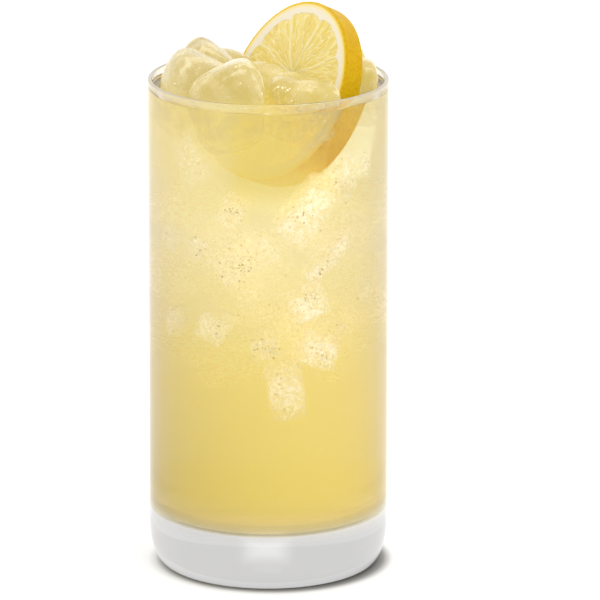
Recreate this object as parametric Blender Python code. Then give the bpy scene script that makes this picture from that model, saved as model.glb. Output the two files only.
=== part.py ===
# A tall straight glass of cloudy lemonade with melting ice and one wheel of lemon.
# Metres, +Z up. The origin is the centre of the foot, on the surface it stands on.
# The wheel of lemon leans in the drink towards the back right, its cut face turned
# to the front left, and the rounded ice cubes stand out of the drink round it.

import math
from collections import namedtuple

import bmesh
import bpy
from mathutils import Euler, Vector, noise

MM = 0.001
GAP = 0.3 * MM                 # air kept between pieces that touch
SIDES = 64                     # facets round the glass and the drink

# Glass
GLASS_HEIGHT = 145.7 * MM
GLASS_RADIUS = 35.0 * MM
WALL = 1.2 * MM                # also the thickness of the fire-polished rim
BASE_THICKNESS = 15.8 * MM     # solid glass under the drink
HEEL_REACH = 4.8 * MM          # how far the rounded heel reaches in under the wall
HEEL_HEIGHT = 12.4 * MM
FLOOR_CORNER = 6.0 * MM        # radius between the inner wall and the floor
BORE_RADIUS = GLASS_RADIUS - WALL

# Drink
LEVEL = GLASS_HEIGHT - 3.0 * MM

# Lemon wheel: the centre of its front face, the way it faces, and its cut
LEMON_CENTRE = Vector((4.7 * MM, 5.6 * MM, LEVEL - 2.0 * MM))
LEMON_TURN = math.radians(56.9)      # from the front towards the left
LEMON_LEAN = math.radians(25.8)      # the face looks up by this much
LEMON_RADIUS = 27.1 * MM
LEMON_THICKNESS = 6.6 * MM
LEMON_CORE = (0.3 * MM, 4.8 * MM)    # where its segments meet, off the wheel's centre
LEMON_STEPS = 72
MEMBRANES = (35, 80, 120, 155, 195, 235, 275, 315, 355)    # degrees round the face
PULP_SHARE = 0.85                    # of the way from the core to the peel
MEMBRANE_GROOVE = 0.4 * MM
PEEL_EDGE = 0.6 * MM                 # rounding of the peel's two edges

# Ice: melted cubes, each given by its centre (height over the drink's level), its half
# sizes and its tilt about X, Y and Z in degrees
ICE_MELT = 4.6                 # the lower, the rounder the cubes are
CONTACT_MELT = 12.0            # the same for the edges of the flats that they rest on
ICE_DENTS = 0.07               # depth of the melted hollows, as a share of the size
ICE_DENT_SCALE = 1.6
ICE_RADIUS = 32.1 * MM         # ice stays this near the glass's axis, in a film of drink
ICE_CUT = 0.6 * MM             # the drink is cut this far out from ice and lemon
Ice = namedtuple("Ice", "name centre half tilt cells")
ICE = (
    Ice("ice_front_left", (-20.4, -4.0, -1.6), (12.2, 12.5, 11.6), (4, 30, 6), 7),
    Ice("ice_back_left", (-18.2, 11.0, -0.5), (10.0, 10.5, 10.2), (6, 38, 10), 7),
    Ice("ice_back", (-13.2, 19.5, -2.6), (9.0, 8.5, 9.0), (10, 6, 40), 5),
    Ice("ice_front", (-10.2, -18.0, -1.4), (11.8, 11.5, 12.4), (-6, -24, 4), 7),
    Ice("ice_middle", (-2.2, -2.5, -3.0), (9.5, 9.0, 10.0), (6, 14, -30), 5),
    Ice("ice_front_right", (8.6, -17.8, -2.1), (13.2, 8.5, 9.6), (0, 2, -42), 6),
    Ice("ice_right", (24.4, 3.2, -2.0), (12.5, 10.5, 10.4), (-4, 6, 8), 5),
    Ice("ice_back_right", (22.8, 15.5, -0.8), (10.5, 7.5, 10.0), (6, -4, 20), 5),
)


def clear_scene():
    for obj in list(bpy.data.objects):
        bpy.data.objects.remove(obj, do_unlink=True)


def linear(red, green, blue):
    """A colour as seen on screen, 0 to 255, as the linear values that Blender wants."""
    shares = [value / 255 for value in (red, green, blue)]
    return tuple(s / 12.92 if s <= 0.04045 else ((s + 0.055) / 1.055) ** 2.4 for s in shares)


def material(name, colour, roughness, transmission=0.0, ior=1.45):
    made = bpy.data.materials.new(name)
    made.use_nodes = True
    shader = made.node_tree.nodes["Principled BSDF"]
    shader.inputs["Base Color"].default_value = (*linear(*colour), 1.0)
    shader.inputs["Roughness"].default_value = roughness
    shader.inputs["Metallic"].default_value = 0.0
    shader.inputs["Transmission Weight"].default_value = transmission
    shader.inputs["IOR"].default_value = ior
    return made


def object_from(bm, name, surface, sharp_angle=math.radians(40)):
    """Turns a bmesh into a named, smooth-shaded object with its own material."""
    bmesh.ops.recalc_face_normals(bm, faces=bm.faces)
    mesh = bpy.data.meshes.new(name)
    bm.to_mesh(mesh)
    bm.free()
    mesh.shade_smooth()
    mesh.set_sharp_from_angle(angle=sharp_angle)
    obj = bpy.data.objects.new(name, mesh)
    bpy.context.collection.objects.link(obj)
    if surface:
        mesh.materials.append(surface)
    return obj


def arc(centre, reach, start, end, steps):
    """Points (radius, height) on part of an ellipse, its angles in degrees from outwards."""
    points = []
    for step in range(steps + 1):
        angle = math.radians(start + (end - start) * step / steps)
        points.append((centre[0] + reach[0] * math.cos(angle), centre[1] + reach[1] * math.sin(angle)))
    return points


def turned(profile):
    """A closed solid turned round Z from a profile that starts and ends on the axis."""
    bm = bmesh.new()
    first = bm.verts.new((0.0, 0.0, profile[0][1]))
    last = bm.verts.new((0.0, 0.0, profile[-1][1]))
    rings = []
    for radius, height in profile[1:-1]:
        ring = []
        for side in range(SIDES):
            angle = 2 * math.pi * side / SIDES
            ring.append(bm.verts.new((radius * math.cos(angle), radius * math.sin(angle), height)))
        rings.append(ring)
    close_rings(bm, first, rings, last)
    return bm


def close_rings(bm, first, rings, last):
    """Joins rings of equal length with quads, and closes both ends on a point."""
    count = len(rings[0])
    for step in range(count):
        after = (step + 1) % count
        bm.faces.new((first, rings[0][after], rings[0][step]))
        bm.faces.new((last, rings[-1][step], rings[-1][after]))
        for near, far in zip(rings, rings[1:]):
            bm.faces.new((near[step], near[after], far[after], far[step]))


def glass_profile():
    heel = arc((GLASS_RADIUS - HEEL_REACH, HEEL_HEIGHT), (HEEL_REACH, HEEL_HEIGHT), -90, 0, 8)
    rim_radius = WALL / 2
    rim = arc((GLASS_RADIUS - rim_radius, GLASS_HEIGHT - rim_radius), (rim_radius, rim_radius), 0, 180, 6)
    return [(0.0, 0.0)] + heel + rim + inner_floor(0.0)


def inner_floor(clearance):
    """The inside of the glass from the wall down to the axis, pulled in by a clearance."""
    reach = FLOOR_CORNER - clearance
    centre = (BORE_RADIUS - FLOOR_CORNER, BASE_THICKNESS + FLOOR_CORNER)
    return arc(centre, (reach, reach), 0, -90, 5) + [(0.0, BASE_THICKNESS + clearance)]


def make_glass():
    surface = material("clear_glass", (236, 238, 240), 0.03, transmission=1.0, ior=1.5)
    return object_from(turned(glass_profile()), "glass", surface)


def lemon_axes():
    """The wheel's own directions: level across it, up along it, and out of its front face."""
    out = Vector((-math.sin(LEMON_TURN) * math.cos(LEMON_LEAN),
                  -math.cos(LEMON_TURN) * math.cos(LEMON_LEAN), math.sin(LEMON_LEAN)))
    across = Vector((0.0, 0.0, 1.0)).cross(out).normalized()
    return across, out.cross(across), out


def lemon_ring(share, depth, groove, grow):
    """One ring of the wheel: a share of the way from the core to the peel, at a depth."""
    across, up, out = lemon_axes()
    radius = LEMON_RADIUS + grow
    points = []
    for step in range(LEMON_STEPS):
        angle = 2 * math.pi * step / LEMON_STEPS
        on_membrane = step * 360 // LEMON_STEPS in MEMBRANES
        side = LEMON_CORE[0] + share * (radius * math.cos(angle) - LEMON_CORE[0])
        rise = LEMON_CORE[1] + share * (radius * math.sin(angle) - LEMON_CORE[1])
        sunk = depth + (groove if on_membrane else 0.0)
        points.append(LEMON_CENTRE + side * across + rise * up - sunk * out)
    return points


def lemon_wheel(grow=0.0):
    """The wheel of lemon, or with grow a plain wheel that much larger all round."""
    across, up, out = lemon_axes()
    core = LEMON_CENTRE + LEMON_CORE[0] * across + LEMON_CORE[1] * up
    groove = 0.0 if grow else MEMBRANE_GROOVE
    edge_share = 1 - PEEL_EDGE / LEMON_RADIUS
    face = ((0.12, 0.5), (0.45, 1.0), (PULP_SHARE - 0.06, 1.0), (PULP_SHARE, 0.0), (edge_share, 0.0))
    rings = [lemon_ring(share, -grow, groove * part, grow) for share, part in face]
    for depth in (PEEL_EDGE - grow, LEMON_THICKNESS / 2, LEMON_THICKNESS + grow - PEEL_EDGE):
        rings.append(lemon_ring(1.0, depth, 0.0, grow))
    far = LEMON_THICKNESS + grow
    rings += [lemon_ring(share, far, -groove * part, grow) for share, part in reversed(face)]
    bm = bmesh.new()
    verts = [[bm.verts.new(point) for point in ring] for ring in rings]
    close_rings(bm, bm.verts.new(core + grow * out), verts, bm.verts.new(core - far * out))
    bmesh.ops.triangulate(bm, faces=bm.faces, quad_method="FIXED")
    return bm


def make_lemon():
    return object_from(lemon_wheel(), "lemon_slice", material("lemon", (236, 206, 70), 0.4))


def ice_centre(piece):
    x, y, rise = piece.centre
    return Vector((x * MM, y * MM, LEVEL + rise * MM))


def own_reach(piece, direction):
    """How far the plain cube, softened at its edges, reaches from its centre."""
    local = Euler([math.radians(a) for a in piece.tilt]).to_matrix().transposed() @ direction
    steepness = sum((abs(part) / (half * MM)) ** ICE_MELT for part, half in zip(local, piece.half))
    return steepness ** (-1 / ICE_MELT)


def contact_planes(piece):
    """Planes as (outward direction, distance from the piece's centre) that it melts flat on."""
    centre = ice_centre(piece)
    planes = []
    for other in ICE:
        if other is piece:
            continue
        away = ice_centre(other) - centre
        toward = away.normalized()
        mine, theirs = own_reach(piece, toward), own_reach(other, -toward)
        planes.append((toward, away.length * mine / (mine + theirs) - GAP))
    out = lemon_axes()[2]
    height = (centre - LEMON_CENTRE).dot(out)
    if height > 0:
        planes.append((-out, height - GAP))
    else:
        planes.append((out, -height - LEMON_THICKNESS - GAP))
    return planes


def wall_reach(centre, direction):
    """How far it is to the film of drink along the glass, in a direction from a centre."""
    flat = direction.x ** 2 + direction.y ** 2
    if flat < 1e-6:
        return GLASS_HEIGHT
    along = centre.x * direction.x + centre.y * direction.y
    inside = ICE_RADIUS ** 2 - centre.x ** 2 - centre.y ** 2
    return (-along + math.sqrt(along ** 2 + flat * inside)) / flat


def ice_cube(piece, grow=0.0):
    """A melted cube, pressed flat on its neighbours, the lemon and the film on the wall."""
    centre = ice_centre(piece)
    planes = contact_planes(piece)
    turn = Euler([math.radians(a) for a in piece.tilt]).to_matrix()
    bm = bmesh.new()
    bmesh.ops.create_cube(bm, size=2.0)
    bmesh.ops.subdivide_edges(bm, edges=bm.edges, cuts=piece.cells - 1, use_grid_fill=True)
    for vert in bm.verts:
        warped = Vector([math.tan(part * math.pi / 4) for part in vert.co])
        direction = turn @ warped.normalized()
        steepness = own_reach(piece, direction) ** -CONTACT_MELT
        steepness += wall_reach(centre, direction) ** -CONTACT_MELT
        for toward, distance in planes:
            slope = direction.dot(toward)
            if slope > 0:
                steepness += (slope / distance) ** CONTACT_MELT
        dent = 0.5 + 0.5 * noise.noise(direction * ICE_DENT_SCALE + centre / MM)
        reach = steepness ** (-1 / CONTACT_MELT) * (1 - ICE_DENTS * dent)
        vert.co = centre + direction * (reach + grow)
    bmesh.ops.triangulate(bm, faces=bm.faces, quad_method="FIXED")
    return bm


def make_ice():
    surface = material("ice", (240, 232, 205), 0.08, transmission=0.8, ior=1.31)
    return [object_from(ice_cube(piece), piece.name, surface) for piece in ICE]


def cutter(bm, name):
    guide = object_from(bm, name, None)
    guide.hide_render = True
    guide.display_type = "WIRE"
    return guide


def keep_largest(mesh):
    """Drops loose scraps of drink that the ice closes off, and keeps the one large body."""
    bm = bmesh.new()
    bm.from_mesh(mesh)
    unseen = set(bm.verts)
    islands = []
    while unseen:
        stack = [unseen.pop()]
        island = set(stack)
        while stack:
            for edge in stack.pop().link_edges:
                for vert in edge.verts:
                    if vert in unseen:
                        unseen.remove(vert)
                        island.add(vert)
                        stack.append(vert)
        islands.append(island)
    largest = max(islands, key=len)
    scraps = [vert for island in islands if island is not largest for vert in island]
    bmesh.ops.delete(bm, geom=scraps, context="VERTS")
    bm.to_mesh(mesh)
    bm.free()


def make_lemonade():
    radius = BORE_RADIUS - GAP
    floor = inner_floor(GAP)
    profile = [(0.0, LEVEL), (radius, LEVEL)] + floor
    surface = material("lemonade", (238, 218, 142), 0.15, transmission=0.3, ior=1.34)
    drink = object_from(turned(profile), "lemonade", surface)
    cutters = [cutter(ice_cube(piece, ICE_CUT), "cut_" + piece.name) for piece in ICE]
    cutters.append(cutter(lemon_wheel(ICE_CUT), "cut_lemon"))
    for guide in cutters:
        cut = drink.modifiers.new(guide.name, "BOOLEAN")
        cut.object = guide
        cut.operation = "DIFFERENCE"
        cut.solver = "EXACT"
    evaluated = drink.evaluated_get(bpy.context.evaluated_depsgraph_get())
    cut_mesh = bpy.data.meshes.new_from_object(evaluated)
    drink.modifiers.clear()
    drink.data = cut_mesh
    keep_largest(cut_mesh)
    for guide in cutters:
        bpy.data.objects.remove(guide, do_unlink=True)
    return drink


def build():
    clear_scene()
    make_glass()
    make_lemon()
    make_ice()
    make_lemonade()


build()
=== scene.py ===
# The looks of a glass of cloudy lemonade with ice and a wheel of lemon.
# Metres, +Z up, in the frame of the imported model.

import math
import random

import bmesh
import bpy
import numpy as np
from mathutils import Euler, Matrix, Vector, noise
from mathutils.bvhtree import BVHTree


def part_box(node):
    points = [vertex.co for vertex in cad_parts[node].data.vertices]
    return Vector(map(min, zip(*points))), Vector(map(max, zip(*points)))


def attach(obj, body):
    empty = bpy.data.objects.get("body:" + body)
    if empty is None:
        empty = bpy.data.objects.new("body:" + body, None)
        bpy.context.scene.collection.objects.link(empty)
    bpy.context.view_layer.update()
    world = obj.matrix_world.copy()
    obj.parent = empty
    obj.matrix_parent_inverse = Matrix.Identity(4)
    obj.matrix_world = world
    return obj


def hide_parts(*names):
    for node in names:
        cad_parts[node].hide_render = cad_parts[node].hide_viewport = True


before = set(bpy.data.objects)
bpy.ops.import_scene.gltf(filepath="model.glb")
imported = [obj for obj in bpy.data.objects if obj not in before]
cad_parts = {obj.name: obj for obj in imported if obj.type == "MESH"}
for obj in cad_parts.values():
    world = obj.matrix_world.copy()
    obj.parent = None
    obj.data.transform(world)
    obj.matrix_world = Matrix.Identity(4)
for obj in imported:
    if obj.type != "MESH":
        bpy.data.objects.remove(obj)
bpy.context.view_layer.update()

MM = 0.001
ROOT = "root"

# The glass, from the frame's own sizes
GLASS_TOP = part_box("glass")[1]
HEIGHT = GLASS_TOP.z
RADIUS = GLASS_TOP.x
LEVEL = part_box("lemonade")[1].z
WALL = 1.2 * MM
BORE = RADIUS - WALL
BASE = 15.8 * MM
HEEL = (4.8 * MM, 12.4 * MM)
PUNT = 0.4 * MM                  # the foot stands on a ring, with air under its middle
FLOOR_CORNER = 6.0 * MM
INTO_WALL = 0.15 * MM            # how far the drink reaches into the glass
STRAIGHT = BASE + 7 * MM         # from here up the inside of the wall is straight
FOG = 55.0                       # cloudiness of the drink, per metre
CLEAR = 3.0                      # the same inside the clear ice
# Strength of the drink mist's glow, which is painted light
FOG_LIGHT = 1.15
SIDE_REACH = 34 * MM
# Painted light: the mist's glow grows towards the right, as if lit from that side
SIDE_LIGHT = (0.20, -0.05)       # added to the light that far to the right, low down and high up
FOG_HEIGHTS = (0.0, 0.34, 0.68, 0.94)  # shares of the way from 15 mm to 140 mm over the table
# Colours the drink's mist glows in, by height, painted light: inside towards the axis, and outside at the
# glass, where they are browner as painted shade at the drink's sides
FOG_INSIDE = ((0.885, 0.675, 0.095, 1.0), (0.960, 0.755, 0.150, 1.0), (0.990, 0.868, 0.410, 1.0),
              (0.810, 0.685, 0.210, 1.0))
FOG_SHADED_OUTSIDE = ((0.220, 0.117, 0.0, 1.0), (0.270, 0.155, 0.02, 1.0), (0.340, 0.220, 0.06, 1.0),
               (0.540, 0.383, 0.104, 1.0))
# Painted light from the lemon: the colour the drink's mist glows in around it
PAINTED_LEMON_LIGHT = (0.720, 0.560, 0.110, 1.0)
DRINK_VEIL = 0.04
# Colours the ice's mist glows in: painted light, standing in for light scattered in the ice
ICE_MIST_LEFT = (0.66, 0.52, 0.19, 1.0)
ICE_MIST_RIGHT = (0.71, 0.54, 0.12, 1.0)
ICE_MIST_DENSITY = 120.0
# Colours the glass's mists glow in, painted light: an even grey in the base, cream round the drink's foot,
# darker on the left as painted shade, and cream in the rim
GLASS_MIST = (0.62, 0.62, 0.62, 1.0)
CREAM_SHADED_LEFT = (0.66, 0.61, 0.54, 1.0)     # of the glass round the drink's foot
CREAM_LIT_RIGHT = (0.95, 0.88, 0.70, 1.0)
RIM_MIST = (0.90, 0.81, 0.58, 1.0)
SIDES = 192
# How the drink climbs the wall: distance from it and height in mm; then the directions where it
# does, in degrees, how wide these are and the share of the height
MENISCUS = ((0.0, 1.10), (0.15, 0.72), (0.4, 0.42), (0.8, 0.20), (1.4, 0.06), (2.2, 0.0))
CLIMBS = ((-135.0, 12.0, 0.25), (-101.0, 9.0, 0.3), (-42.0, 10.0, 0.25), (20.0, 30.0, 1.0),
          (110.0, 40.0, 1.0), (178.0, 30.0, 1.0), (-178.0, 20.0, 1.0))

# The camera, fitted to the rim, the foot and the sides of the glass
CAMERA_DISTANCE = 1.883
CAMERA_ELEVATION = 0.2723
CAMERA_LENS = 386.3
CAMERA_SHIFT = (0.0528, 0.0323)

# The wheel of lemon: it leans to the right, its cut face to the front left
LEMON_CENTRE = Vector((4.7 * MM, 5.6 * MM, LEVEL - 2.0 * MM))
LEMON_TURN = math.radians(56.9)
LEMON_LEAN = math.radians(25.8)
LEMON_RADIUS = 27.0 * MM
LEMON_THICKNESS = 6.6 * MM
LEMON_CORE = (0.3 * MM, 4.8 * MM)
LEMON_STEPS = 480
VESICLES = 84                    # juice sacs round the face
MEMBRANES = (35, 80, 120, 155, 195, 235, 275, 315, 355)    # degrees round the face
PEEL_EDGE = 0.6 * MM

BRIGHT_SIDE = Vector((0.25, 0.45, 0.85))    # towards the brightest part of the room
ROOM_LIGHT = (0.70, 1.55)               # its strength away from there and there
SHADE_SHIFT = (0.0015, -0.0003, 0.0)    # of the floor's shade round the foot

ICE_NODES = [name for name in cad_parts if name.startswith("ice_")]


def linear(red, green, blue):
    shares = [value / 255 for value in (red, green, blue)]
    return tuple(s / 12.92 if s <= 0.04045 else ((s + 0.055) / 1.055) ** 2.4 for s in shares)


def colour(red, green, blue):
    return (*linear(red, green, blue), 1.0)


# Clear ice in front of the lemon: centre and half sizes in mm, turns in degrees
CLEAR_ICE = (
    ((8.6, -17.8, 140.6), (13.2, 8.5, 10.6), (0, 2, -42)),
    ((15.0, -15.5, 128.5), (11.0, 10.0, 8.5), (0, 22, -24)),
    ((22.0, -13.0, 133.5), (7.5, 16.0, 13.0), (0, 12, 10)),
)
# Where the drink's mist glows lemon-yellow, painted light from the lemon
LEMON_CLOUD = ((4.5, -12.0, 128.5), (16.5, 24.0, 17.0), (0, 0, 0))    # where the fog is PAINTED_LEMON_LIGHT
# A painted highlight in the foot: the glass's mist glows brighter inside this box
PAINTED_FOOT_HIGHLIGHT = ((-0.6, -22.0, 10.8), (8.0, 11.0, 4.4), (0, 0, 0))            # a bright spot in the foot

# Frosted ice close behind the wall: x and z of its middle, half sizes in mm, how it leans in
# degrees, and how much its frost shows
WALL_ICE = (
    (10.63, 112.6, (5.8, 6.0, 10.4), 36, 0.90),
    (21.0, 121.9, (4.8, 5.0, 8.1), 38, 0.51),
    (16.4, 98.7, (2.5, 5.0, 9.6), 49, 0.81),
    (-5.5, 98.9, (4.6, 6.0, 9.9), 60, 0.64),
    (10.8, 85.7, (6.1, 5.0, 4.4), -20, 0.81),
    (13.5, 71.1, (6.4, 5.0, 4.6), 20, 0.77),
    (4.5, 60.6, (5.6, 6.0, 10.1), -8, 0.59),
    (-14.7, 78.3, (5.1, 5.0, 4.6), 24, 0.51),
    (-1.2, 73.1, (4.4, 5.0, 3.5), -18, 0.47),
    (-9.8, 112.8, (3.9, 5.0, 4.2), 28, 0.55),
    (-26.9, 102.4, (3.8, 4.0, 3.5), 10, 0.42),
    (-18.8, 101.7, (2.9, 5.0, 4.4), 30, 0.38),
    (-25.81, 77.8, (4.4, 4.0, 4.2), -12, 0.34),
    (-20.94, 126.4, (5.8, 5.0, 8.8), -30, 0.34),
    (26.46, 124.1, (3.8, 4.0, 3.0), 30, 0.38),
    (26.7, 86.4, (2.5, 4.0, 3.4), 20, 0.38),
)
BEHIND_WALL = 2.5                # mm from the glass's outside to the frost
MOST_FORWARD = -31.0             # y in mm, which none of it passes
TURN_TO_WALL = 0.6               # share of a full turn to face the glass

# Ice deeper in the drink: centre and half sizes in mm, turns in degrees, and its frost
DEEP_ICE = (
    ((13.0, -11.0, 106.0), (12.0, 6.0, 10.0), (10, 38, 12), 0.55),
    ((-7.0, -13.0, 97.0), (11.5, 7.0, 9.5), (8, 50, 6), 0.55),
    ((1.0, -10.0, 84.0), (10.0, 7.0, 10.0), (30, 20, 10), 0.55),
    ((12.0, -12.0, 74.0), (9.5, 7.0, 9.0), (0, 30, -14), 0.55),
    ((12.0, 17.0, 100.0), (11.0, 9.0, 10.0), (12, 30, 22), 0.70),
    ((-12.0, 17.0, 104.0), (10.0, 9.0, 9.5), (-10, 24, -12), 0.60),
    ((-2.0, 20.0, 82.0), (11.0, 8.0, 9.0), (6, -30, 4), 0.70),
    ((19.0, 14.0, 79.0), (9.0, 8.0, 9.0), (20, 12, 40), 0.60),
    ((-20.0, 12.0, 83.0), (9.0, 8.5, 9.0), (8, 38, -30), 0.50),
    ((8.0, 18.5, 62.0), (9.0, 8.0, 8.5), (0, 24, 10), 0.70),
    ((-9.0, 18.0, 60.0), (8.5, 8.0, 8.0), (14, -18, 0), 0.60),
)
CLUSTERS = 2                     # of bubbles on a sunk cube
BUBBLE_RADIUS = (0.12, 0.26)     # mm: the smallest, and the most that is added to it
AT_FACE = 0.7                    # share of the bubbles that lie at the face near the glass
DARK_IN_DRINK, DARK_ON_TOP = 0.45, 0.35    # shares of them that show dark

# Bubbles just under a surface: node, middle and spread in mm, how many
SURFACE_BUBBLES = (
    ("ice_front_right", (4.5, -24.0, 147.0), (3.2, 2.0, 2.6), 46),
    ("ice_front_right", (9.0, -22.0, 144.0), (4.0, 2.0, 3.0), 22),
    ("ice_front", (-9.0, -26.0, 148.0), (4.5, 2.0, 3.0), 20),
    ("ice_front_left", (-22.0, -12.0, 148.0), (3.5, 2.0, 4.0), 14),
)

PULP_DARK = np.array(linear(221, 195, 86))
PULP_LIGHT = np.array(linear(229, 208, 112))
PULP_LINE = np.array(linear(237, 224, 164))
MEMBRANE = np.array(linear(236, 225, 178))
PITH = np.array(linear(231, 222, 200))
PITH_EDGE = np.array(linear(236, 218, 152))
ZEST_EDGE = np.array(linear(224, 186, 40))
PEEL_DARK = np.array(linear(188, 143, 0))
PEEL_LIGHT = np.array(linear(205, 166, 0))
PEEL_PIT = np.array(linear(176, 130, 0))
# Painted light: how strongly each part glows in the drink, standing in for the light that reaches it there
GLOW_PULP, GLOW_PITH, GLOW_PEEL = 0.35, 0.25, 0.45    # light that reaches them in the drink
SOAK_PULP, SOAK_PITH = 0.5, 0.7                       # how far the drink tints them
SOAKED = colour(226, 200, 100)


class Look:
    """A node material, built by short calls that return output sockets."""

    def __init__(self, name):
        self.material = bpy.data.materials.new(name)
        self.material.use_nodes = True
        self.tree = self.material.node_tree
        self.tree.nodes.clear()
        self.out = self.tree.nodes.new("ShaderNodeOutputMaterial")

    def node(self, kind, settings=None, **inputs):
        made = self.tree.nodes.new("ShaderNode" + kind)
        for key, value in (settings or {}).items():
            setattr(made, key, value)
        for key, value in inputs.items():
            self.put(made.inputs[key.replace("_", " ")], value)
        return made

    def put(self, socket, value):
        if isinstance(value, bpy.types.NodeSocket):
            self.tree.links.new(value, socket)
        else:
            socket.default_value = value

    def place(self):
        return self.node("TexCoord").outputs["Object"]

    def noise(self, scale, detail=3.0, roughness=0.5, distortion=0.0, vector=None):
        made = self.node("TexNoise", Scale=scale, Detail=detail, Roughness=roughness,
                         Distortion=distortion, Vector=vector or self.place())
        return made.outputs["Fac"]

    def ramp(self, value, *stops):
        made = self.node("ValToRGB", Fac=value)
        band = made.color_ramp
        while len(band.elements) < len(stops):
            band.elements.new(0.5)
        for element, (at, shade) in zip(band.elements, stops):
            element.position = at
            element.color = shade
        return made.outputs["Color"]

    def span(self, value, low, high, to_low=0.0, to_high=1.0, smooth=False):
        kind = "SMOOTHSTEP" if smooth else "LINEAR"
        made = self.node("MapRange", {"interpolation_type": kind})
        for key, put in (("Value", value), ("From Min", low), ("From Max", high),
                         ("To Min", to_low), ("To Max", to_high)):
            self.put(made.inputs[key], put)
        return made.outputs["Result"]

    def maths(self, operation, a, b=0.0):
        made = self.node("Math", {"operation": operation})
        self.put(made.inputs[0], a)
        self.put(made.inputs[1], b)
        return made.outputs["Value"]

    def blend(self, share, a, b):
        made = self.node("Mix", {"data_type": "RGBA"})
        self.put(made.inputs[0], share)
        self.put(made.inputs[6], a)
        self.put(made.inputs[7], b)
        return made.outputs[2]

    def box(self, centre, half, turn, soft):
        """1 inside a turned box, fading to 0 at its faces; sizes in mm, turns in degrees."""
        moved = self.node("VectorMath", {"operation": "SUBTRACT"})
        self.put(moved.inputs[0], self.place())
        self.put(moved.inputs[1], [part * MM for part in centre])
        turned_back = self.node("VectorRotate", {"rotation_type": "EULER_XYZ", "invert": True},
                                Vector=moved.outputs[0], Rotation=[math.radians(a) for a in turn])
        scaled = self.node("VectorMath", {"operation": "DIVIDE"})
        self.put(scaled.inputs[0], turned_back.outputs[0])
        self.put(scaled.inputs[1], [part * MM for part in half])
        size = self.node("VectorMath", {"operation": "ABSOLUTE"})
        self.put(size.inputs[0], scaled.outputs[0])
        parts = self.node("SeparateXYZ", Vector=size.outputs[0]).outputs
        most = self.maths("MAXIMUM", self.maths("MAXIMUM", parts[0], parts[1]), parts[2])
        return self.span(most, 1 - soft, 1.0, 1.0, 0.0, smooth=True)

    def radius(self):
        """Distance from the glass's axis."""
        place = self.node("SeparateXYZ", Vector=self.place()).outputs
        flat = self.node("CombineXYZ", X=place[0], Y=place[1])
        length = self.node("VectorMath", {"operation": "LENGTH"})
        self.put(length.inputs[0], flat.outputs[0])
        return length.outputs["Value"]

    def bump(self, height, strength, distance, normal=None):
        made = self.node("Bump", Strength=strength, Distance=distance, Height=height)
        if normal:
            self.put(made.inputs["Normal"], normal)
        return made.outputs["Normal"]

    def principled(self, **inputs):
        made = self.node("BsdfPrincipled")
        for key, value in inputs.items():
            self.put(made.inputs[key.replace("_", " ")], value)
        return made.outputs["BSDF"]

    def refraction(self, ior):
        """Bends light and reflects none, for where the glass and the drink touch."""
        return self.node("BsdfRefraction", Color=(1.0, 1.0, 1.0, 1.0), Roughness=0.0, IOR=ior).outputs[0]

    def mix_shaders(self, share, a, b):
        made = self.node("MixShader")
        self.put(made.inputs[0], share)
        self.put(made.inputs[1], a)
        self.put(made.inputs[2], b)
        return made.outputs["Shader"]

    def finish(self, surface, volume=None):
        self.put(self.out.inputs["Surface"], surface)
        if volume:
            self.put(self.out.inputs["Volume"], volume)
        return self.material


# Shapes

def mesh_piece(name, verts, faces, look, nodes=(), smooth=True):
    mesh = bpy.data.meshes.new(name)
    mesh.from_pydata([tuple(v) for v in verts], [], [tuple(f) for f in faces])
    return settle(name, mesh, look, nodes, smooth)


def settle(name, mesh, look, nodes=(), smooth=True):
    """Links a mesh as a piece that rides on the body, for the nodes it replaces."""
    if smooth:
        mesh.shade_smooth()
    piece = bpy.data.objects.new(name, mesh)
    bpy.context.collection.objects.link(piece)
    mesh.materials.clear()
    mesh.materials.append(look)
    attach(piece, ROOT)
    if nodes:
        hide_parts(*nodes)
    return piece


def store(piece, name, values):
    """Keeps a number for each vertex, which the piece's material reads by its name."""
    values = np.asarray(values).astype("f4")
    piece.data.attributes.new(name, "FLOAT", "POINT").data.foreach_set("value", values)


def arc(centre, reach, start, end, steps):
    """Points on an ellipse about a centre, between two angles in degrees."""
    points = []
    for step in range(steps + 1):
        angle = math.radians(start + (end - start) * step / steps)
        points.append((centre[0] + reach[0] * math.cos(angle), centre[1] + reach[1] * math.sin(angle)))
    return points


def skin(first, rings, last):
    """Vertices and faces of a closed solid through rings of points, with a point at each end."""
    steps = len(rings[0])
    verts = [tuple(first)] + [tuple(p) for ring in rings for p in ring] + [tuple(last)]
    end = len(verts) - 1
    faces = []
    for step in range(steps):
        after = (step + 1) % steps
        faces.append((0, 1 + after, 1 + step))
        faces.append((end, end - steps + step, end - steps + after))
        for ring in range(len(rings) - 1):
            near, far = 1 + ring * steps, 1 + (ring + 1) * steps
            faces.append((near + step, near + after, far + after, far + step))
    return verts, faces


def turned(profile, sides=SIDES):
    """A closed solid turned round Z; its profile starts below on the axis and ends above on it."""
    turns = [2 * math.pi * side / sides for side in range(sides)]
    rings = [[(r * math.cos(a), r * math.sin(a), z) for a in turns] for r, z in profile[1:-1]]
    return skin((0.0, 0.0, profile[0][1]), rings, (0.0, 0.0, profile[-1][1]))


# Glass

def fog(look, colour_of_fog, density, light=None):
    """An even mist inside a piece: what lies behind it fades into its colour, and the mist glows in that
    colour, painted light that stands in for the light it would scatter.
    """
    soak = look.node("VolumeAbsorption", Color=(0.0, 0.0, 0.0, 1.0), Density=density)
    strength = look.maths("MULTIPLY", density, light) if light else density
    painted_glow = look.node("Emission", Color=colour_of_fog, Strength=strength)
    both = look.node("AddShader")
    look.put(both.inputs[0], soak.outputs[0])
    look.put(both.inputs[1], painted_glow.outputs[0])
    return both.outputs[0]


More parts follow.
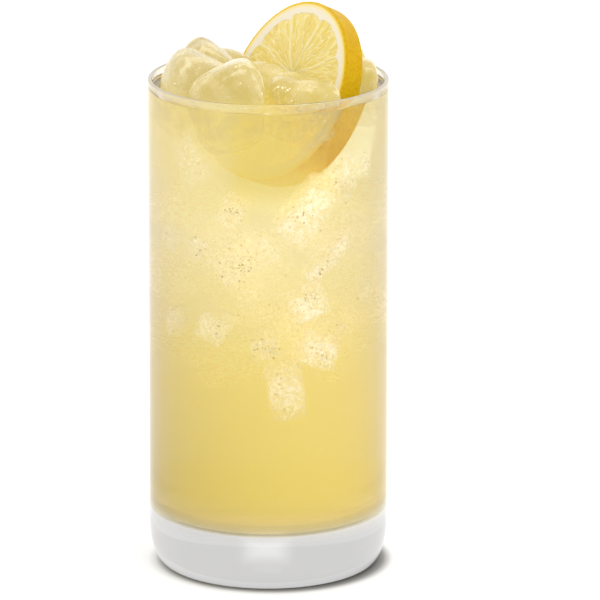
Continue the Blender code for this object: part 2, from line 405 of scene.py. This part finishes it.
def glass_look():
    """Clear, with a mist that glows with painted light: an even grey in the base, cream round the drink's
    foot, darker on its left as painted shade, and cream in the rim, with a painted highlight in the foot.
    """
    look = Look("clear_glass")
    fine = look.noise(900.0, 2.0)
    shader = look.principled(Base_Color=(1.0, 1.0, 1.0, 1.0), Roughness=0.0, IOR=1.5,
                             Transmission_Weight=1.0, Normal=look.bump(fine, 0.02, 0.0001))
    place = look.node("SeparateXYZ", Vector=look.place())
    height = place.outputs["Z"]
    touch = look.maths("LESS_THAN", look.radius(), BORE + 0.3 * MM)
    touch = look.maths("MULTIPLY", touch, look.maths("GREATER_THAN", height, STRAIGHT))
    touch = look.maths("MULTIPLY", touch, look.maths("LESS_THAN", height, LEVEL))
    shader = look.mix_shaders(touch, shader, look.refraction(1.5))
    low = look.span(height, BASE + 1 * MM, STRAIGHT, 45.0, 2.0)
    high = look.span(height, HEIGHT - 2.4 * MM, HEIGHT - 1.2 * MM, 0.0, 320.0)
    high = look.maths("MULTIPLY", high, look.span(place.outputs["Y"], -0.034, -0.024))
    cream = look.blend(look.span(place.outputs["X"], -0.02, 0.03), CREAM_SHADED_LEFT, CREAM_LIT_RIGHT)
    tone = look.blend(look.span(height, BASE - 3 * MM, BASE + 1 * MM, smooth=True), GLASS_MIST, cream)
    tone = look.blend(look.span(height, HEIGHT / 2, HEIGHT - 2 * MM), tone, RIM_MIST)
    # Painted highlight: the base's mist glows up to 2.1 times as bright in a box in its middle
    painted_highlight = look.box(*PAINTED_FOOT_HIGHLIGHT, soft=1.0)
    light = look.span(painted_highlight, 0.0, 1.0, 1.0, 2.1)
    return look.finish(shader, fog(look, tone, look.maths("ADD", low, high), light))


def make_glass():
    ring = RADIUS - HEEL[0]
    foot = [(0.0, PUNT), (ring - 3 * MM, PUNT), (ring - 1 * MM, 0.02 * MM)]
    foot += arc((ring, HEEL[1]), HEEL, -90, 0, 24)
    lip = WALL / 2
    rim = arc((RADIUS - lip, HEIGHT - lip), (lip, lip), 0, 180, 16)
    corner = (BORE - FLOOR_CORNER, BASE + FLOOR_CORNER)
    inside = arc(corner, (FLOOR_CORNER, FLOOR_CORNER), 0, -90, 16) + [(0.0, BASE)]
    verts, faces = turned(foot + rim + inside)
    return mesh_piece("glass_shell", verts, faces, glass_look(), ["glass"])


# Drink

def drink_look():
    """A faint veil over a clear, tinted surface, which along the straight wall reflects nothing."""
    look = Look("lemonade")
    place = look.node("SeparateXYZ", Vector=look.place())
    height = place.outputs["Z"]
    cloud = look.noise(40.0, 4.0, 0.6)
    low_tone = look.ramp(cloud, (0.3, colour(222, 194, 104)), (0.7, colour(230, 206, 120)))
    high_tone = look.ramp(cloud, (0.3, colour(232, 212, 140)), (0.7, colour(242, 224, 164)))
    tone = look.blend(look.span(height, 0.035, 0.10, smooth=True), low_tone, high_tone)
    body = look.principled(Base_Color=tone, Roughness=0.12, IOR=1.33)
    clear = look.principled(Base_Color=(0.96, 0.87, 0.52, 1.0), Roughness=0.0, IOR=1.33,
                            Transmission_Weight=1.0)
    side = look.maths("COMPARE", height, (LEVEL + STRAIGHT) / 2)
    side.node.inputs[2].default_value = (LEVEL - STRAIGHT) / 2
    clear = look.mix_shaders(side, clear, look.refraction(1.33))
    shader = look.mix_shaders(DRINK_VEIL, clear, body)
    material = look.finish(shader, drink_fog(look, place))
    material.cycles.volume_step_rate = 0.5
    return material


def drink_fog(look, place):
    """The mist's glow, which is painted light: paler higher up, browner near the glass as painted shade at
    the drink's sides, brighter on the right as painted light from that side, lemon-yellow in front of the
    lemon as painted light from it, and thin inside the clear ice.
    """
    height = place.outputs["Z"]
    up = look.span(height, 0.015, 0.140)
    inside = look.ramp(up, *zip(FOG_HEIGHTS, FOG_INSIDE))
    outside = look.ramp(up, *zip(FOG_HEIGHTS, FOG_SHADED_OUTSIDE))
    # Painted shade: the mist glows browner towards the glass
    edge = look.span(look.radius(), 0.020, 0.034, smooth=True)
    tone = look.blend(edge, inside, outside)
    # Painted light: the mist glows lemon-yellow in a box in front of the lemon
    tone = look.blend(look.box(*LEMON_CLOUD, soft=0.35), tone, PAINTED_LEMON_LIGHT)
    slope = look.span(height, 0.03, 0.125, *[share / SIDE_REACH for share in SIDE_LIGHT])
    light = look.maths("ADD", look.maths("MULTIPLY", slope, place.outputs["X"]), 1.0)
    ice = 0.0
    for piece in CLEAR_ICE:
        ice = look.maths("MAXIMUM", look.box(*piece, soft=0.15), ice)
    density = look.span(ice, 0.0, 1.0, FOG, CLEAR)
    return fog(look, tone, density, look.maths("MULTIPLY", light, FOG_LIGHT))


def climb(x, y):
    """Share of the full height that the drink climbs on the wall in this direction."""
    angle = math.degrees(math.atan2(y, x))
    return max(most * math.exp(-((angle - middle) / width) ** 4) for middle, width, most in CLIMBS)


def make_drink():
    radius = BORE + INTO_WALL
    reach = FLOOR_CORNER + INTO_WALL
    corner = (BORE - FLOOR_CORNER, BASE + FLOOR_CORNER)
    floor = [(0.0, BASE - INTO_WALL)] + arc(corner, (reach, reach), -90, 0, 16)
    wall = [(radius, z) for z in np.linspace(STRAIGHT + 1 * MM, LEVEL + 0.8 * MM, 40)]
    wall += [(radius, LEVEL + 1.0 * MM)]
    top = [(radius - away * MM, LEVEL + rise * MM) for away, rise in MENISCUS]
    top += [(radius * share, LEVEL) for share in np.linspace(0.92, 0.05, 30)] + [(0.0, LEVEL)]
    verts, faces = turned(floor + wall + top)
    verts = [(x, y, z if z <= LEVEL else LEVEL + (z - LEVEL) * climb(x, y)) for x, y, z in verts]
    return mesh_piece("lemonade_body", verts, faces, drink_look(), ["lemonade"])


# Ice

def ice_look():
    """Misty above the drink, with painted highlights on its ridges and where its surface turns edge-on; in
    the drink, which bends light alike, only frost. The mist glows with painted light.
    """
    look = Look("ice")
    place = look.node("SeparateXYZ", Vector=look.place())
    height = place.outputs["Z"]
    # Painted highlight: the ridges are paler and glow a little
    ridge_highlight = look.node("Attribute", {"attribute_name": "ridge_highlight"}).outputs["Fac"]
    # Painted highlight: near white where the surface turns edge-on
    edge = look.span(look.node("LayerWeight", Blend=0.5).outputs["Facing"], 0.80, 0.97, smooth=True)
    thin = look.span(look.noise(130.0, 2.0), 0.40, 0.55, 0.15, 1.0, smooth=True)
    edge = look.maths("MULTIPLY", edge, thin)
    frost = look.noise(170.0, 4.0, 0.6)
    tone = look.ramp(frost, (0.3, colour(226, 206, 146)), (0.7, colour(244, 230, 184)))
    tone = look.blend(ridge_highlight, tone, colour(250, 240, 204))
    tone = look.blend(edge, tone, colour(255, 252, 236))
    dents = look.noise(90.0, 3.0)
    grain = look.noise(700.0, 2.0)
    normal = look.bump(grain, 0.25, 0.0003, look.bump(dents, 0.6, 0.0012))
    clear = look.principled(Base_Color=(1.0, 1.0, 1.0, 1.0), Roughness=0.12, IOR=1.31,
                            Transmission_Weight=1.0, Normal=normal)
    white = look.principled(Base_Color=tone, Roughness=0.3, IOR=1.31, Normal=normal,
                            Emission_Color=tone, Emission_Strength=look.maths("MULTIPLY", ridge_highlight, 0.12))
    veil = look.span(frost, 0.42, 0.62, 0.04, 0.35)
    veil = look.maths("MAXIMUM", veil, look.maths("MULTIPLY", ridge_highlight, 0.4))
    veil = look.maths("MAXIMUM", veil, look.maths("MULTIPLY", edge, 0.9))
    above = look.mix_shaders(veil, clear, white)
    through = look.node("BsdfTransparent").outputs[0]
    below = look.mix_shaders(look.span(frost, 0.42, 0.66, 0.0, 0.30), through, white)
    out = look.span(height, LEVEL - 0.3 * MM, LEVEL)
    density = look.span(height, LEVEL - 1 * MM, LEVEL + 1 * MM, 4.0, ICE_MIST_DENSITY)
    mist = look.blend(look.span(place.outputs["X"], -0.02, 0.01), ICE_MIST_LEFT, ICE_MIST_RIGHT)
    return look.finish(look.mix_shaders(out, below, above), fog(look, mist, density))


def sunk_look():
    """Ice in the drink is clear; clouds of frost and small bubbles in it show pale, with small dark dots of
    painted shade. The frost glows with painted light, weaker towards the drink's sides as painted shade.
    """
    look = Look("sunk_ice")
    share = look.node("Attribute", {"attribute_name": "frost"}).outputs["Fac"]
    cloud = look.noise(70.0, 2.0, 0.5)
    fine = look.noise(700.0, 3.0, 0.7)
    tone = look.ramp(fine, (0.35, colour(238, 222, 164)), (0.65, colour(252, 245, 218)))
    # Painted shade: small dark dots in the frost, the dark of tiny bubbles
    cells = look.node("TexVoronoi", Scale=620.0, Vector=look.place()).outputs["Distance"]
    where = look.span(look.noise(150.0, 2.0), 0.46, 0.58, smooth=True)
    pit = look.span(cells, 0.16, 0.30, 1.0, 0.0, smooth=True)
    tone = look.blend(look.maths("MULTIPLY", pit, where), tone, colour(214, 193, 128))
    across = look.node("SeparateXYZ", Vector=look.place()).outputs["X"]
    # Painted light: the frost glows, less towards the drink's sides as painted shade
    painted_glow = look.span(look.maths("ABSOLUTE", across), 0.012, 0.032, 0.66, 0.38)
    white = look.principled(Base_Color=tone, Roughness=0.4, Normal=look.bump(fine, 0.4, 0.0006),
                            Specular_IOR_Level=0.1, Emission_Color=tone, Emission_Strength=painted_glow)
    through = look.node("BsdfTransparent").outputs[0]
    grazing = look.node("LayerWeight", Blend=0.5).outputs["Facing"]
    veil = look.maths("MULTIPLY", share, look.span(cloud, 0.34, 0.54, 0.35, 1.0, smooth=True))
    veil = look.maths("MULTIPLY", veil, look.span(fine, 0.35, 0.60, 0.6, 1.0))
    veil = look.maths("MULTIPLY", veil, look.span(grazing, 0.45, 0.95, 1.0, 0.15))
    return look.finish(look.mix_shaders(veil, through, white))


def bubble_look(name, shade, painted_glow):
    # Both kinds glow with painted light; the pale specks on them are painted glints
    look = Look(name)
    speck = look.noise(2500.0, 2.0)
    tone = look.blend(look.span(speck, 0.3, 0.7, 0.0, 0.4), shade, colour(250, 240, 205))
    return look.finish(look.principled(Base_Color=tone, Roughness=0.05, IOR=1.33,
                                       Emission_Color=tone, Emission_Strength=painted_glow))


def add_ball(mesh, middle, radius):
    verts, faces = mesh
    ball, quads = cube_grid(2)
    start = len(verts)
    verts += [middle + radius * b for b in ball]
    faces += [[start + i for i in quad] for quad in quads]


def surface_tree(node):
    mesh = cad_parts[node].data
    return BVHTree.FromPolygons([v.co for v in mesh.vertices], [tuple(f.vertices) for f in mesh.polygons])


def bubble_size(draw):
    smallest, more = BUBBLE_RADIUS
    return MM * (smallest + more * draw.random() ** 3)


def bubble_kind(draw, dark_share):
    return "dark_bubbles" if draw.random() < dark_share else "pale_bubbles"


def make_bubbles():
    """Small round bubbles, pale ones with a painted glint and ones that show dark with painted shade, both
    glowing with painted light: in clusters on the sunk ice, and just inside some of the ice above the
    drink."""
    draw = random.Random(7)
    kinds = {"pale_bubbles": ([], []), "dark_bubbles": ([], [])}
    for centre, half, turn, share in sunk_pieces():
        spin = Euler([math.radians(a) for a in turn]).to_matrix()
        for _ in range(CLUSTERS):
            middle = [draw.uniform(-0.5, 0.5) for _ in range(3)]
            for _ in range(int(draw.randint(16, 60) * (0.4 + share))):
                spot = [max(-0.92, min(0.92, m + draw.gauss(0, 0.34))) for m in middle]
                spot[1] = math.copysign(0.97, centre[1]) if draw.random() < AT_FACE else spot[1]
                p = spin @ Vector([s * h * MM for s, h in zip(spot, half)]) + Vector(centre) * MM
                size = bubble_size(draw)
                if math.hypot(p.x, p.y) + size > BORE - 0.2 * MM or p.z > LEVEL - 1 * MM:
                    continue
                add_ball(kinds[bubble_kind(draw, DARK_IN_DRINK)], p, size)
    for node, middle, spread, count in SURFACE_BUBBLES:
        skin_of = surface_tree(node)
        for _ in range(count):
            near = Vector([draw.gauss(m, s) * MM for m, s in zip(middle, spread)])
            spot, normal = skin_of.find_nearest(near)[:2]
            size = bubble_size(draw)
            add_ball(kinds[bubble_kind(draw, DARK_ON_TOP)], spot - 1.2 * size * normal, size)
    # Pale bubbles are painted glints and dark ones painted shade; both glow with painted light
    looks = {"pale_bubbles": bubble_look("pale_bubble", colour(250, 240, 208), 0.35),
             "dark_bubbles": bubble_look("dark_bubble", colour(208, 184, 114), 0.3)}
    for name, (verts, quads) in kinds.items():
        mesh_piece(name, verts, quads, looks[name], ["lemonade"])


def sunk_pieces():
    """Centre, half sizes, turns and frost of all sunk ice. That at the wall comes first: it is set
    close behind the glass, to a tenth of a millimetre, and turned part of the way towards it."""
    pieces = []
    for x, z, half, lean, share in WALL_ICE:
        wall = -math.sqrt((RADIUS / MM) ** 2 - x * x)
        y = max(MOST_FORWARD + half[1], wall + half[1] + BEHIND_WALL)
        turn = TURN_TO_WALL * math.degrees(math.atan2(x, -wall))
        pieces.append(((round(x, 1), round(y, 1), z), half, (6, lean, round(turn)), share))
    return pieces + list(DEEP_ICE)


def cube_grid(steps):
    """Unit directions and squares of a cube's surface, as a closed mesh."""
    verts, faces, index = [], [], {}

    def vertex(point):
        if point not in index:
            index[point] = len(verts)
            verts.append(point)
        return index[point]

    for axis in range(3):
        for side in (-steps, steps):
            for i in range(-steps, steps, 2):
                for j in range(-steps, steps, 2):
                    corners = []
                    for a, b in ((i, j), (i + 2, j), (i + 2, j + 2), (i, j + 2)):
                        point = [0, 0, 0]
                        point[axis], point[(axis + 1) % 3], point[(axis + 2) % 3] = side, a, b
                        corners.append(vertex(tuple(point)))
                    faces.append(corners if side > 0 else corners[::-1])
    return [Vector(v).normalized() for v in verts], faces


def melted_cube(half, melt, dents, seed, steps=16):
    """A cube of ice rounded by melting, with shallow dents."""
    directions, faces = cube_grid(steps)
    shift = Vector((seed * 7.3, seed * 3.1, seed * 5.7))
    verts = []
    for d in directions:
        reach = sum(abs(d[i] / half[i]) ** melt for i in range(3)) ** (-1 / melt)
        reach *= 1 - dents * (0.5 + 0.5 * noise.noise(d * 1.7 + shift)) - 0.02 * noise.noise(d * 6 + shift)
        verts.append(d * reach)
    return verts, faces


def make_sunk_ice():
    """All sunk ice in one piece, frosted on its front and back faces."""
    verts, faces, frosts = [], [], []
    for seed, (centre, half, turn, share) in enumerate(sunk_pieces()):
        points, quads = melted_cube([h * MM for h in half], melt=9.0, dents=0.08, seed=seed + 1)
        spin = Euler([math.radians(a) for a in turn]).to_matrix()
        start = len(verts)
        for p in points:
            across, deep, along = (abs(p[i]) / (half[i] * MM) for i in range(3))
            face = float(step_up(0.88, 1.0, deep / max(across, deep, along)))
            ragged = 0.25 * noise.noise(p * 260 + Vector(centre))
            fade = 1 - 0.7 * float(step_up(0.50, 1.05, max(across, along) + ragged))
            patch = 0.9 + 0.8 * noise.noise(p * 150 + Vector(centre))
            frosts.append(share * max(0.0, min(1.0, patch)) * (0.10 + 0.90 * face * fade))
            q = spin @ p + Vector(centre) * MM
            out = math.hypot(q.x, q.y)
            limit = BORE - 0.6 * MM
            if out > limit:
                q.x, q.y = q.x * limit / out, q.y * limit / out
            verts.append(q)
        faces += [[start + i for i in quad] for quad in quads]
    piece = mesh_piece("sunk_ice", verts, faces, sunk_look(), ["lemonade"])
    store(piece, "frost", frosts)


def fine_copy(node, name, levels=2):
    """A smooth, finer copy of a node's mesh."""
    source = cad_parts[node]
    bm = bmesh.new()
    bm.from_mesh(source.data)
    bmesh.ops.remove_doubles(bm, verts=bm.verts, dist=0.00002)
    mesh = bpy.data.meshes.new(name)
    bm.to_mesh(mesh)
    bm.free()
    guide = bpy.data.objects.new(name + "_guide", mesh)
    bpy.context.collection.objects.link(guide)
    smooth = guide.modifiers.new("smooth", "SUBSURF")
    smooth.levels = smooth.render_levels = levels
    evaluated = guide.evaluated_get(bpy.context.evaluated_depsgraph_get())
    fine = bpy.data.meshes.new_from_object(evaluated)
    fine.name = name
    bpy.data.objects.remove(guide, do_unlink=True)
    return fine


def ridge_share(mesh):
    """How sharply a mesh bulges at each vertex, 0 to 1."""
    count = len(mesh.vertices)
    spots, normals = np.empty(count * 3), np.empty(count * 3)
    mesh.vertices.foreach_get("co", spots)
    mesh.vertex_normals.foreach_get("vector", normals)
    spots, normals = spots.reshape(-1, 3), normals.reshape(-1, 3)
    ends = np.empty(len(mesh.edges) * 2, dtype=int)
    mesh.edges.foreach_get("vertices", ends)
    ends = ends.reshape(-1, 2)
    number = np.bincount(ends.ravel(), minlength=count)[:, None]

    def around(values):
        total = np.zeros(values.shape)
        np.add.at(total, ends[:, 0], values[ends[:, 1]])
        np.add.at(total, ends[:, 1], values[ends[:, 0]])
        return total / number

    bulge = ((spots - around(spots)) * normals).sum(axis=1)[:, None]
    for _ in range(3):
        bulge = 0.5 * bulge + 0.5 * around(bulge)
    low, high = np.percentile(bulge, (88, 99))
    return step_up(low, high, bulge[:, 0])


def make_ice():
    look = ice_look()
    for node in ICE_NODES:
        piece = settle(node + "_melted", fine_copy(node, node + "_melted"), look, [node])
        # How much painted highlight each ridge gets
        store(piece, "ridge_highlight", ridge_share(piece.data))


# Lemon

def lemon_axes():
    """The wheel's own directions: level across it, up along it, and out of its front face."""
    out = Vector((-math.sin(LEMON_TURN) * math.cos(LEMON_LEAN),
                  -math.cos(LEMON_TURN) * math.cos(LEMON_LEAN), math.sin(LEMON_LEAN)))
    across = Vector((0.0, 0.0, 1.0)).cross(out).normalized()
    return across, out.cross(across), out


def step_up(low, high, value):
    share = np.clip((value - low) / (high - low), 0.0, 1.0)
    return share * share * (3 - 2 * share)


def random_cells(x, y, wrap, seed):
    """Distance to the nearest of scattered points, gap to the second, and a number of the nearest."""
    near = np.full(x.shape, 9.0)
    second = np.full(x.shape, 9.0)
    number = np.zeros(x.shape)
    for dx in (-1, 0, 1):
        for dy in (-1, 0, 1):
            i, j = np.floor(x) + dx, np.floor(y) + dy
            key = np.mod(i, wrap) * 12.9898 + j * 78.233 + seed * 37.719
            h1 = np.modf(np.abs(np.sin(key)) * 43758.5453)[0]
            h2 = np.modf(np.abs(np.sin(key + 4.1)) * 24634.6345)[0]
            away = np.hypot(i + 0.15 + 0.7 * h1 - x, j + 0.1 + 0.8 * h2 - y)
            closer = away < near
            second = np.where(closer, near, np.minimum(second, away))
            number = np.where(closer, np.modf(h1 * 7.77 + h2 * 3.33)[0], number)
            near = np.minimum(near, away)
    return near, second - near, number


def mixed(share, a, b):
    share = share[..., None]
    return a * (1 - share) + b * share


def face_fields(angle, share, seed):
    """Relief (metres, at most 0), colour and wetness over a cut face of the lemon."""
    edges = np.radians(MEMBRANES + (MEMBRANES[0] + 360,))
    swing = 0.03 * np.sin(share * 9 + 5 * np.sin(angle * 2)) * (share > 0)
    turn = np.mod(angle + swing - edges[0], 2 * math.pi) + edges[0]
    segment = np.clip(np.searchsorted(edges, turn, side="right") - 1, 0, len(MEMBRANES) - 1)
    width = edges[segment + 1] - edges[segment]
    place = (turn - edges[segment]) / width
    from_core = share * LEMON_RADIUS
    to_side = np.minimum(place, 1 - place) * width * from_core
    scallop = 0.842 - 0.055 * np.abs(2 * place - 1) ** 5 + 0.018 * np.sin(segment * 2.3 + seed)
    scallop = scallop + 0.006 * np.sin(angle * 31 + 4 * np.sin(angle * 7))
    pulp = 1 - step_up(-0.006, 0.006, share - scallop)
    membrane = 1 - step_up(0.10 * MM, 0.36 * MM, to_side)
    column = angle / (2 * math.pi) * VESICLES
    rows = from_core / (6.0 * MM) + 0.8 * np.sin(np.floor(column) * 2.1)
    near, gap, number = random_cells(column, rows, VESICLES, seed)
    line = 1 - step_up(0.02, 0.20, gap)
    streak = step_up(0.2, 0.9, np.sin(column * 3.1 + 2.2 * np.sin(from_core / MM * 0.5 + segment)))
    juice = mixed(number, PULP_DARK, PULP_LIGHT)
    juice = mixed(np.clip(0.7 * line + 0.45 * streak * (number > 0.4), 0, 1), juice, PULP_LINE)
    juice = mixed(np.maximum(0.85 * membrane, 1 - step_up(0.02, 0.06, share)), juice, MEMBRANE)
    rind = mixed(step_up(0.905, 0.945, share), PITH, PITH_EDGE)
    rind = mixed(step_up(0.948, 0.972, share), rind, ZEST_EDGE)
    relief = -0.10 * MM - 0.12 * MM * line - 0.06 * MM * near ** 2 + 0.06 * MM * membrane
    relief = pulp * np.minimum(relief, -0.02 * MM) - (1 - pulp) * 0.03 * MM
    return relief, mixed(pulp, rind, juice), pulp


def peel_fields(angle, depth, seed):
    """Pits and colour over the lemon's peel; the pits are painted darker, as painted shade."""
    around = 132
    near, gap, number = random_cells(angle / (2 * math.pi) * around, depth / (1.25 * MM), around, seed)
    pit = 1 - step_up(0.08, 0.38, near)
    broad = 0.5 + 0.5 * np.sin(angle * 3 + 2 * np.sin(angle * 2 + 1))
    tone = mixed(0.6 * broad + 0.4 * number, PEEL_DARK, PEEL_LIGHT)
    # Painted shade: the pits are darkened
    return -0.13 * MM * pit, mixed(0.45 * pit, tone, PEEL_PIT)


def lemon_look():
    look = Look("lemon")
    tint = look.node("Attribute", {"attribute_name": "tint"}).outputs["Color"]
    wet = look.node("Attribute", {"attribute_name": "wet"}).outputs["Fac"]
    painted_glow = look.node("Attribute", {"attribute_name": "painted_glow"}).outputs["Fac"]
    fine = look.noise(1400.0, 3.0, 0.6)
    # Painted sheen: wet parts are speckled towards a pale cream
    painted_sheen = look.maths("MULTIPLY", look.span(fine, 0.3, 0.7, 0.0, 0.08), wet)
    tone = look.blend(painted_sheen, tint, (1.0, 0.97, 0.82, 1.0))
    height = look.node("SeparateXYZ", Vector=look.place()).outputs["Z"]
    # Painted light: below the drink's top the lemon glows
    sunk = look.span(height, LEVEL - 2 * MM, LEVEL, 1.0, 0.0)
    soaked = look.maths("MULTIPLY", sunk, look.node("Attribute", {"attribute_name": "soak"}).outputs["Fac"])
    tone = look.blend(soaked, tone, SOAKED)
    return look.finish(look.principled(
        Base_Color=tone, Roughness=look.span(wet, 0.0, 1.0, 0.42, 0.16),
        Specular_IOR_Level=look.span(wet, 0.0, 1.0, 0.08, 0.30),
        Normal=look.bump(fine, 0.2, 0.0002), Subsurface_Weight=look.span(wet, 0.0, 1.0, 0.0, 0.3),
        Subsurface_Scale=0.0015, Subsurface_Radius=(1.0, 0.9, 0.4),
        Emission_Color=tone, Emission_Strength=look.maths("MULTIPLY", sunk, painted_glow)))


def lemon_rings(across, up, out):
    """Rings of points from the front's middle over the peel to the back's, with their colours,
    how wet they are, and how many rings each cut face has."""
    centre = np.array(LEMON_CENTRE)
    core = np.array(LEMON_CORE)
    angle = 2 * math.pi * np.arange(LEMON_STEPS) / LEMON_STEPS
    rim = LEMON_RADIUS * np.stack([np.cos(angle), np.sin(angle)], axis=-1)
    outward = rim[:, 0:1] * across / LEMON_RADIUS + rim[:, 1:2] * up / LEMON_RADIUS
    rings, tints, wets = [], [], []

    def add(share, depth, side, push, tint, wet):
        flat = core + share * (rim - core)
        points = centre + flat[:, 0:1] * across + flat[:, 1:2] * up - (depth + side)[:, None] * out
        rings.append(points + push[:, None] * outward)
        tints.append(tint)
        wets.append(wet)

    edge = PEEL_EDGE / LEMON_RADIUS
    still = np.zeros(LEMON_STEPS)

    def add_peel(depth, bend):
        relief, tint = peel_fields(angle, np.full(LEMON_STEPS, depth), 2)
        shown = float(step_up(0.1, 0.75, math.sin(bend)))
        tint = mixed(np.full(LEMON_STEPS, shown), ZEST_EDGE[None], tint)
        add(1 - edge * (1 - math.sin(bend)), depth, still, relief, tint, still)

    shares = np.concatenate([np.linspace(0.012, 0.8, 60), np.linspace(0.805, 1 - edge, 26)])
    for share in shares:
        relief, tint, wet = face_fields(angle, np.full(LEMON_STEPS, share), 1)
        add(share, 0.0, -relief, still, tint, wet)
    for bend in np.linspace(0.12, 0.88, 6) * math.pi / 2:
        add_peel(PEEL_EDGE * (1 - math.cos(bend)), bend)
    for depth in np.linspace(PEEL_EDGE, LEMON_THICKNESS - PEEL_EDGE, 22):
        add_peel(depth, math.pi / 2)
    for bend in np.linspace(0.88, 0.12, 6) * math.pi / 2:
        add_peel(LEMON_THICKNESS - PEEL_EDGE * (1 - math.cos(bend)), bend)
    for share in shares[::-1]:
        relief, tint, wet = face_fields(angle, np.full(LEMON_STEPS, share), 5)
        add(share, LEMON_THICKNESS, relief, still, tint, wet)
    return rings, tints, wets, len(shares)


def make_lemon():
    across, up, out = (np.array(v) for v in lemon_axes())
    rings, tints, wets, face_rings = lemon_rings(across, up, out)
    middle = np.array(LEMON_CENTRE) + LEMON_CORE[0] * across + LEMON_CORE[1] * up
    verts, faces = skin(middle - 0.1 * MM * out, rings, middle - (LEMON_THICKNESS - 0.1 * MM) * out)
    faces = [face[::-1] for face in faces]
    piece = mesh_piece("lemon_wheel", verts, faces, lemon_look(), ["lemon_slice"])
    tint = np.concatenate([tints[0][:1]] + tints + [tints[-1][:1]])
    wet = np.concatenate([[1.0]] + wets + [[1.0]])
    # How strongly each part glows in the drink: painted light
    painted_glow = np.where(wet > 0.5, GLOW_PULP, GLOW_PITH)
    flat = face_rings * LEMON_STEPS + 1
    painted_glow[flat:-flat] = GLOW_PEEL
    store(piece, "painted_glow", painted_glow)
    soak = np.where(wet > 0.5, SOAK_PULP, SOAK_PITH)
    soak[flat:-flat] = 0.0
    store(piece, "soak", soak)
    colours = piece.data.color_attributes.new("tint", "FLOAT_COLOR", "POINT")
    colours.data.foreach_set("color", np.column_stack([tint, np.ones(len(tint))]).ravel().astype("f4"))
    store(piece, "wet", wet)


# Room

def floor_look():
    """White, with a painted contact shadow: a soft dark line round the foot, wider to the right."""
    look = Look("white_floor")
    grain = look.noise(6.0, 2.0)
    tone = look.ramp(grain, (0.4, (0.97, 0.97, 0.97, 1.0)), (0.6, (0.99, 0.99, 0.99, 1.0)))
    moved = look.node("VectorMath", {"operation": "SUBTRACT"})
    look.put(moved.inputs[0], look.place())
    look.put(moved.inputs[1], SHADE_SHIFT)
    reach = look.node("VectorMath", {"operation": "LENGTH"})
    look.put(reach.inputs[0], moved.outputs[0])
    out = look.span(reach.outputs["Value"], RADIUS - 5 * MM, RADIUS + 2 * MM)
    shade = look.ramp(out, (0.0, (0.10, 0.10, 0.10, 1.0)), (0.35, (0.30, 0.30, 0.30, 1.0)),
                      (0.7, (0.85, 0.85, 0.85, 1.0)), (1.0, (1.0, 1.0, 1.0, 1.0)))
    # Painted shadow: the floor's colour is darkened round the foot
    painted_shadow_floor = look.node("Mix", {"data_type": "RGBA", "blend_type": "MULTIPLY"})
    look.put(painted_shadow_floor.inputs[0], 1.0)
    look.put(painted_shadow_floor.inputs[6], tone)
    look.put(painted_shadow_floor.inputs[7], shade)
    return look.finish(look.principled(Base_Color=painted_shadow_floor.outputs[2], Roughness=0.9))


def make_room():
    mesh = bpy.data.meshes.new("floor")
    mesh.from_pydata([(-6, -4, 0), (6, -4, 0), (6, 12, 0), (-6, 12, 0)], [], [(0, 1, 2, 3)])
    floor = bpy.data.objects.new("floor", mesh)
    bpy.context.collection.objects.link(floor)
    floor.data.materials.append(floor_look())


def area_lamp(name, place, aim, size, power):
    lamp = bpy.data.lights.new(name, "AREA")
    lamp.shape = "DISK"
    lamp.size = size
    lamp.energy = power
    holder = bpy.data.objects.new(name, lamp)
    bpy.context.collection.objects.link(holder)
    holder.location = place
    holder.rotation_euler = (Vector(aim) - Vector(place)).to_track_quat("-Z", "Y").to_euler()


def make_light():
    """A white room, brighter above and behind, with one soft lamp at the front right."""
    world = bpy.data.worlds.new("studio")
    bpy.context.scene.world = world
    world.use_nodes = True
    nodes, links = world.node_tree.nodes, world.node_tree.links
    way = nodes.new("ShaderNodeTexCoord")
    tilt = nodes.new("ShaderNodeVectorMath")
    tilt.operation = "DOT_PRODUCT"
    tilt.inputs[1].default_value = BRIGHT_SIDE.normalized()
    bright = nodes.new("ShaderNodeMapRange")
    for key, value in zip(("From Min", "From Max", "To Min", "To Max"), (-1.0, 1.0, *ROOM_LIGHT)):
        bright.inputs[key].default_value = value
    links.new(way.outputs["Generated"], tilt.inputs[0])
    links.new(tilt.outputs["Value"], bright.inputs["Value"])
    links.new(bright.outputs["Result"], nodes["Background"].inputs["Strength"])
    nodes["Background"].inputs["Color"].default_value = (1.0, 1.0, 1.0, 1.0)
    area_lamp("key", place=(0.5, -0.7, 1.2), aim=(0, 0, 0.08), size=0.5, power=2.0)


def make_camera():
    data = bpy.data.cameras.new("camera")
    data.lens = CAMERA_LENS
    data.sensor_width = 36.0
    data.shift_x, data.shift_y = CAMERA_SHIFT
    camera = bpy.data.objects.new("camera", data)
    bpy.context.collection.objects.link(camera)
    back = Vector((0, -math.cos(CAMERA_ELEVATION), math.sin(CAMERA_ELEVATION)))
    camera.location = Vector((0, 0, HEIGHT / 2)) + CAMERA_DISTANCE * back
    camera.rotation_euler = (math.pi / 2 - CAMERA_ELEVATION, 0, 0)
    bpy.context.scene.camera = camera


make_camera()
make_light()
make_room()
make_glass()
make_drink()
make_ice()
make_sunk_ice()
make_bubbles()
make_lemon()
bpy.context.scene.view_settings.view_transform = "Standard"
